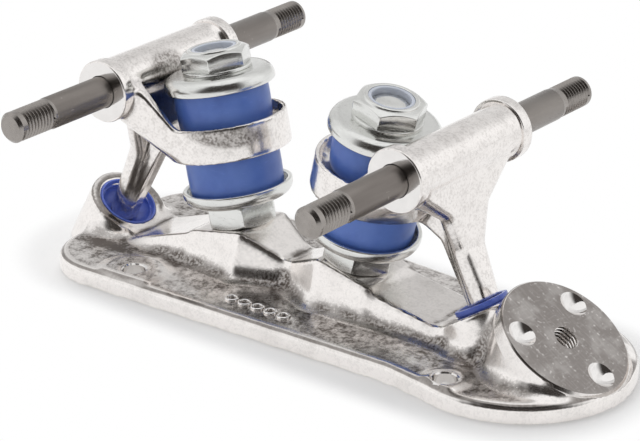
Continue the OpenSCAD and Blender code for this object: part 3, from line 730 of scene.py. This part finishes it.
casting = polished_casting("polished_hanger", ROUGH_SHADED_SPOTS, HANGER_DEEP, HANGER_SPECKLE)
collar_finish = faced_metal("faced_collar")
for end, way in ENDS:
    hanger = copy_of(end + "_hanger", end + "_hanger_cast")
    cast_skin(hanger, HANGER_VOXEL, HANGER_FILLET, HANGER_PASSES)
    collars = []
    for side in (-1, 1):
        outline = [(COLLAR_BORE_R, 0)]
        outline += corner(COLLAR_R - COLLAR_ROUND, -COLLAR_ROUND, COLLAR_ROUND, 90, -90)
        outline += corner(COLLAR_R - COLLAR_BACK, COLLAR_BACK - COLLAR_W, COLLAR_BACK, 0, -90)
        outline += [(COLLAR_BORE_R, -COLLAR_W), (COLLAR_BORE_R, 0)]
        place_at = Matrix.Translation(Vector((way * AXLE_X, side * COLLAR_Y, AXLE_Z)) * MM)
        collars.append(place(lathe("collar", outline), place_at @ Matrix.Rotation(-side * pi / 2, 4, "X")))
    carve(hanger, join(collars), "UNION")
    mark_crevices(hanger)
    hanger.data.materials.append(casting)
    finish_faces(hanger, collar_finish,
                 lambda f: abs(f.normal.y) > 0.985 and abs(f.center.y) > (COLLAR_Y - 0.02) * MM)
    smooth(hanger, 40)
    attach(hanger, end + "_truck")
    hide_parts(end + "_hanger")


# Axles: ground steel rods pressed through the hangers' tubes, with a thread for the wheel nut cut at
# both ends, a chamfer at the tips and a dark oiled finish.
AXLE_R = 4.0
AXLE_LEN = 108.0
AXLE_THREAD_R = 3.85
AXLE_THREAD_LEN = 12.7
AXLE_THREAD_START = 1.9
AXLE_PITCH = 1.06
AXLE_TURNS = 9
AXLE_THREAD_DEPTH = 0.68
AXLE_CHAMFER = 0.8


def oiled_steel(name):
    """Dark ground steel with turning marks along the rod and small bright nicks"""
    material, here, link = new_finish(name, Metallic=1.0)
    cloud = here.noise(90, 3, (1, 0.35, 1))
    lines = here.noise(700, 3, (0.06, 4.5, 0.06))
    streak = here.noise(420, 3, (2.2, 0.12, 2.2))
    nick = here.noise(900, 2, (1, 0.6, 1)).between(0.7, 0.78)
    link(Base_Color=(0.5 * cloud.between(0.3, 0.7) + 0.3 * streak + 0.8 * nick).tint(
            (0.19, 0.17, 0.157), (0.37, 0.34, 0.315)),
         Roughness=0.25 + 0.1 * cloud + 0.08 * lines,
         Normal=(0.7 * lines + 0.3 * streak).bump(0.012 * MM))
    return material


def cut_steel(name):
    """Bare steel where a thread was cut, brighter than the oiled rod"""
    material, here, link = new_finish(name, Metallic=1.0)
    cloud = here.noise(400, 3)
    lines = here.noise(2200, 2, (1, 0.2, 1))
    link(Base_Color=(0.7 * cloud + 0.3 * lines).tint((0.44, 0.41, 0.385), (0.26, 0.24, 0.225)),
         Roughness=0.2 + 0.14 * cloud,
         Normal=(lines + cloud).bump(0.008 * MM))
    return material


half = [(0, 0), (AXLE_THREAD_R - AXLE_CHAMFER, 0), (AXLE_THREAD_R, AXLE_CHAMFER),
        (AXLE_THREAD_R, AXLE_THREAD_LEN), (AXLE_R, AXLE_THREAD_LEN + 0.3)]
rod = lathe("axle_pattern", half + [(r, AXLE_LEN - z) for r, z in reversed(half)], 96)
for low in (True, False):
    groove = thread_groove("axle_thread", AXLE_THREAD_R - AXLE_THREAD_DEPTH, AXLE_THREAD_R, AXLE_R + 0.3,
                           AXLE_PITCH, AXLE_TURNS)
    from_end = Matrix.Translation((0, 0, AXLE_THREAD_START * MM))
    turned = Matrix.Translation((0, 0, AXLE_LEN * MM)) @ Matrix.Rotation(pi, 4, "X")
    place(groove, from_end if low else turned @ from_end)
    carve(rod, groove, "DIFFERENCE")
rod.data.materials.append(oiled_steel("oiled_steel"))
finish_faces(rod, cut_steel("cut_steel"),
             lambda f: abs(f.center.z - AXLE_LEN / 2 * MM) > (AXLE_LEN / 2 - AXLE_THREAD_LEN) * MM)
smooth(rod, 28)
for end, way in ENDS:
    axle = twin(rod, end + "_axle_turned")
    place(axle, Matrix.Translation(Vector((way * AXLE_X, AXLE_LEN / 2, AXLE_Z)) * MM)
          @ Matrix.Rotation(radians(90), 4, "X"))
    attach(axle, end + "_truck")
    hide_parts(end + "_axle")
bpy.data.objects.remove(rod)


# Upper cushions: the same urethane between hanger and upper retainer, a little shorter, each made as a
# foot and a head above a cut.
UPPER_CUSHION_S = 24.95
UPPER_CUSHION_H = 12.9
UPPER_RING_S = 28.1
UPPER_HEAD_S = 37.3
UPPER_CUT = 18

cut = cushion_height(UPPER_CUSHION_H, UPPER_CUT)
cut_s = UPPER_CUSHION_S + cut
for end, way in ENDS:
    foot = cushion(end + "_upper_cushion_poured", UPPER_CUSHION_H, 0, cut)
    place(foot, on_kingpin(way, UPPER_CUSHION_S))
    point_on_kingpin(way, cut_s)
    point_on_kingpin(way, UPPER_RING_S)
    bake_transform(foot)
    head = cushion(end + "_upper_cushion_head", UPPER_CUSHION_H, cut, UPPER_CUSHION_H)
    place(head, on_kingpin(way, UPPER_CUSHION_S))
    point_on_kingpin(way, cut_s)
    point_on_kingpin(way, UPPER_HEAD_S)
    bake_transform(head)
    for piece in (foot, head):
        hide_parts(end + "_upper_cushion")


# Upper retainers: the same pressed cup washers the other way up, on top of the upper cushions. The
# nuts push them down along the kingpins.
UPPER_RETAINER_S = 39.6

for end, way in ENDS:
    cup_washer = twin(retainer, end + "_upper_retainer_pressed")
    place(cup_washer, on_kingpin(way, UPPER_RETAINER_S) @ Matrix.Rotation(pi, 4, "X"))
    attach(cup_washer, end + "_upper_stack")
    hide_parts(end + "_upper_retainer")
bpy.data.objects.remove(retainer)


# Nut washers: thin flat washers, stamped from plated sheet, between upper retainers and nuts. They go
# up and down the kingpins with the retainers, and the nuts turn on them.
WASHER_S = 39.6
WASHER_R = 8.7
WASHER_T = 0.97
WASHER_EDGE = 0.15
WASHER_ROUND = 0.3

stamped = [(RETAINER_BORE_R, 0), (WASHER_R - WASHER_EDGE, 0), (WASHER_R, WASHER_EDGE)]
stamped += corner(WASHER_R - WASHER_ROUND, WASHER_T - WASHER_ROUND, WASHER_ROUND, 0, 90, 4)
stamped += [(RETAINER_BORE_R + WASHER_EDGE, WASHER_T), (RETAINER_BORE_R, WASHER_T - WASHER_EDGE),
            (RETAINER_BORE_R, 0)]
flat_washer = lathe("washer_pattern", stamped, 96)
flat_washer.data.materials.append(zinc)
smooth(flat_washer, 35)
for end, way in ENDS:
    washer = twin(flat_washer, end + "_nut_washer_stamped")
    place(washer, on_kingpin(way, WASHER_S))
    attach(washer, end + "_upper_stack")
    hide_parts(end + "_nut_washer")
bpy.data.objects.remove(flat_washer)


# Action nuts: thin plated lock nuts that set how hard the cushions are pressed, with a round collar
# crimped over a nylon ring.
NUT_S = 40.6
NUT_ACROSS = 15.9
NUT_HEX_H = 4.3
NUT_H = 5.0
NUT_COLLAR_R = 6.9
NUT_TURN = {"front": -9, "rear": 0}
INSERT_R = 5.8
INSERT_LOW = 2.8
INSERT_TOP = NUT_H - 0.5
INSERT_ROUND = 0.3
CRIMP_ROUND = 0.6

nut_far_r = NUT_ACROSS / sqrt(3) + CORNER_SPARE
nut_fall = chamfer_drop(NUT_ACROSS, nut_far_r)
crimped = [(NUT_BORE_R, 0), (nut_far_r, 0), (nut_far_r, NUT_HEX_H - nut_fall),
           (FACE_SHARE * NUT_ACROSS, NUT_HEX_H), (NUT_COLLAR_R, NUT_HEX_H + 0.1)]
crimped += corner(NUT_COLLAR_R - CRIMP_ROUND, NUT_H - CRIMP_ROUND, CRIMP_ROUND, 0, 90, 6)
crimped += [(INSERT_R - 0.1, NUT_H - 0.15), (INSERT_R + 0.02, INSERT_TOP), (INSERT_R + 0.02, INSERT_LOW),
            (NUT_BORE_R, INSERT_LOW), (NUT_BORE_R, 0)]
lock_nut = lathe("action_nut_pattern", crimped)
hexagon(lock_nut, NUT_ACROSS, NUT_H)
lock_nut.data.materials.append(zinc)
for end, way in ENDS:
    nut = twin(lock_nut, end + "_action_nut_plated")
    place(nut, on_kingpin(way, NUT_S, NUT_TURN[end]))
    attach(nut, end + "_nut")
    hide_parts(end + "_action_nut")
bpy.data.objects.remove(lock_nut)


# Nylon inserts: pale rings in the collars of the action nuts, which grip the kingpins' threads so that
# the nuts stay where they are set.
def pale_nylon(name):
    """Milky nylon, faintly mottled"""
    material, here, link = new_finish(name, Subsurface_Weight=0.2, Subsurface_Radius=(0.8, 0.9, 1.0),
                                      Subsurface_Scale=1.0 * MM)
    cloud = here.noise(500, 3)
    link(Base_Color=cloud.tint((0.50, 0.535, 0.62), (0.62, 0.655, 0.73)),
         Roughness=0.3 + 0.15 * cloud,
         Normal=cloud.bump(0.02 * MM))
    return material


nylon = pale_nylon("pale_nylon")
moulded = [(NUT_BORE_R, INSERT_LOW), (INSERT_R, INSERT_LOW), (INSERT_R, INSERT_TOP)]
moulded += corner(INSERT_R - 0.35, INSERT_TOP, INSERT_ROUND, 20, 70, 4)
moulded += corner(NUT_BORE_R + INSERT_ROUND, INSERT_TOP, INSERT_ROUND, 90, 90, 4)
moulded += [(NUT_BORE_R, INSERT_LOW)]
lock_ring = lathe("insert_pattern", moulded, 72)
lock_ring.data.materials.append(nylon)
smooth(lock_ring, 40)
for end, way in ENDS:
    insert = twin(lock_ring, end + "_nylon_insert_moulded")
    place(insert, on_kingpin(way, NUT_S))
    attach(insert, end + "_nut")
    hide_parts(end + "_nylon_insert")
bpy.data.objects.remove(lock_ring)


# Floor: a white sheet of studio paper, lit softly so that the plate's shadow stays on it, and pure
# white where it runs on into the background.
FLOOR_SIZE = 6.0
SHADOW_CENTRE = Vector((10.2, 0, 0)) * MM
SHADOW_CORE = Vector((58.7, 3.8, 0)) * MM
SHADOW_EDGE = (27 * MM, 36 * MM)
MIRROR_LIFT = 0.5

bpy.ops.object.select_all(action="DESELECT")
bpy.ops.mesh.primitive_grid_add(x_subdivisions=8, y_subdivisions=8, size=FLOOR_SIZE)
floor = bpy.context.object
floor.name = floor.data.name = "paper_floor"
paper = bpy.data.materials.new("studio_paper")
paper.use_nodes = True
wire = Wire(paper.node_tree)
here = wire.node("ShaderNodeTexCoord", {}, {}, out="Object")
moved = here.node("ShaderNodeVectorMath", {"operation": "SUBTRACT"}, {0: here, 1: SHADOW_CENTRE})
sides = here.node("ShaderNodeVectorMath", {"operation": "ABSOLUTE"}, {0: moved})
beyond = here.node("ShaderNodeVectorMath", {"operation": "SUBTRACT"}, {0: sides, 1: SHADOW_CORE})
beyond = here.node("ShaderNodeVectorMath", {"operation": "MAXIMUM"}, {0: beyond, 1: (0, 0, 0)})
away = here.node("ShaderNodeVectorMath", {"operation": "LENGTH"}, {0: beyond}, out="Value")
seen = here.node("ShaderNodeLightPath", {}, {}, out="Is Camera Ray")
mirrored = here.node("ShaderNodeLightPath", {}, {}, out="Is Glossy Ray")
plain = here.node("ShaderNodeBsdfDiffuse", {}, {"Color": (0.98, 0.98, 0.98, 1)})
white = here.node("ShaderNodeEmission", {}, {"Color": (1, 1, 1, 1), "Strength": 1.0})
lifted = seen * away.between(*SHADOW_EDGE) + MIRROR_LIFT * mirrored
mixed = here.node("ShaderNodeMixShader", {}, {0: lifted, 1: plain, 2: white})
paper.node_tree.links.new(mixed.socket, paper.node_tree.nodes["Material Output"].inputs["Surface"])
floor.data.materials.append(paper)


# Studio walls: pale boards all round above the paper, a little darker at the far side, with a black cloth
# behind the camera. Only polished metal mirrors them; they neither light the object nor shade it.
AZIMUTH = radians(38.715)
WALL_R = 1.1
WALL_LOW = 0.12
WALL_HIGH = 2.3
CLOTH_EDGE = (0.35, 0.8)
FAR_EDGE = (0.3, 0.95)
FAR_SHADE = 0.25
PATCH_SHADE = 0.12

bpy.ops.object.select_all(action="DESELECT")
bpy.ops.mesh.primitive_cylinder_add(vertices=64, radius=WALL_R, depth=WALL_HIGH - WALL_LOW,
                                    end_fill_type="NOTHING")
walls = place(bpy.context.object, Matrix.Translation((0, 0, (WALL_LOW + WALL_HIGH) / 2)))
walls.name = walls.data.name = "studio_walls"
boards = bpy.data.materials.new("pale_boards")
boards.use_nodes = True
wire = Wire(boards.node_tree)
here = wire.node("ShaderNodeTexCoord", {}, {}, out="Object")
facing = {0: here, 1: (sin(AZIMUTH) / WALL_R, -cos(AZIMUTH) / WALL_R, 0)}
toward = here.node("ShaderNodeVectorMath", {"operation": "DOT_PRODUCT"}, facing, out="Value")
patch = here.noise(2.2, 1).between(0.35, 0.65)
cloth = toward.between(*CLOTH_EDGE)
shade = cloth + (1 - cloth) * ((0 - toward).between(*FAR_EDGE) * FAR_SHADE + PATCH_SHADE * patch)
tone = shade.tint((1, 1, 1), (0.045, 0.04, 0.037))
glow = here.node("ShaderNodeEmission", {}, {"Color": tone, "Strength": 1.0})
boards.node_tree.links.new(glow.socket, boards.node_tree.nodes["Material Output"].inputs["Surface"])
walls.data.materials.append(boards)
walls.visible_camera = False
walls.visible_diffuse = False
walls.visible_shadow = False
walls.visible_transmission = False


# Light: a white room for soft light from everywhere and a large softbox overhead that draws the
# contact shadow. Camera and polished metal see the room as plain white, without the softbox.
ROOM_LEVEL = 0.62
SOFTBOX_POWER = 5.5
SOFTBOX_SIZE = (1.5, 1.2)
SOFTBOX_AT = (-0.45, 0.15, 0.9)

world = bpy.data.worlds.new("white_room")
bpy.context.scene.world = world
world.use_nodes = True
wire = Wire(world.node_tree)
path = world.node_tree.nodes.new("ShaderNodeLightPath")
rays = ("Is Camera Ray", "Is Glossy Ray", "Is Transmission Ray")
seen, mirrored, passed = (Wire(world.node_tree, path.outputs[ray]) for ray in rays)
shown = wire.math("MAXIMUM", wire.math("MAXIMUM", seen, mirrored), passed)
soft = wire.node("ShaderNodeBackground", {}, {"Color": (1, 1, 1, 1), "Strength": ROOM_LEVEL})
plain = wire.node("ShaderNodeBackground", {}, {"Color": (1, 1, 1, 1), "Strength": 1.0})
room = wire.node("ShaderNodeMixShader", {}, {0: shown, 1: soft, 2: plain})
world.node_tree.links.new(room.socket, world.node_tree.nodes["World Output"].inputs["Surface"])

softbox = bpy.data.lights.new("softbox", "AREA")
softbox.shape = "RECTANGLE"
softbox.size, softbox.size_y = SOFTBOX_SIZE
softbox.energy = SOFTBOX_POWER
box_light = bpy.data.objects.new("softbox", softbox)
bpy.context.collection.objects.link(box_light)
box_light.location = SOFTBOX_AT
box_light.visible_glossy = False
box_light.rotation_euler = (-box_light.location).to_track_quat("-Z", "Y").to_euler()


# Camera: a long lens at the photographer's angle, from the side of the toe and a little above, with
# the plate filling the picture.
ELEVATION = radians(23.307)
ROLL = radians(0.219)
DISTANCE = 725.862
TARGET = Vector((-17.859, 30.003, 5.618)) * MM
LENS = 156.35
SENSOR = 36

lens = bpy.data.cameras.new("camera")
lens.sensor_width = SENSOR
lens.lens = LENS
camera = bpy.data.objects.new("camera", lens)
bpy.context.collection.objects.link(camera)
back = Vector((sin(AZIMUTH) * cos(ELEVATION), -cos(AZIMUTH) * cos(ELEVATION), sin(ELEVATION)))
level = Vector((cos(AZIMUTH), sin(AZIMUTH), 0))
rise = back.cross(level)
right = level * cos(ROLL) + rise * sin(ROLL)
up = rise * cos(ROLL) - level * sin(ROLL)
turn = Matrix((right, up, back)).transposed().to_4x4()
camera.matrix_world = Matrix.Translation(TARGET + back * DISTANCE * MM) @ turn
bpy.context.scene.camera = camera
bpy.context.scene.view_settings.view_transform = "Standard"
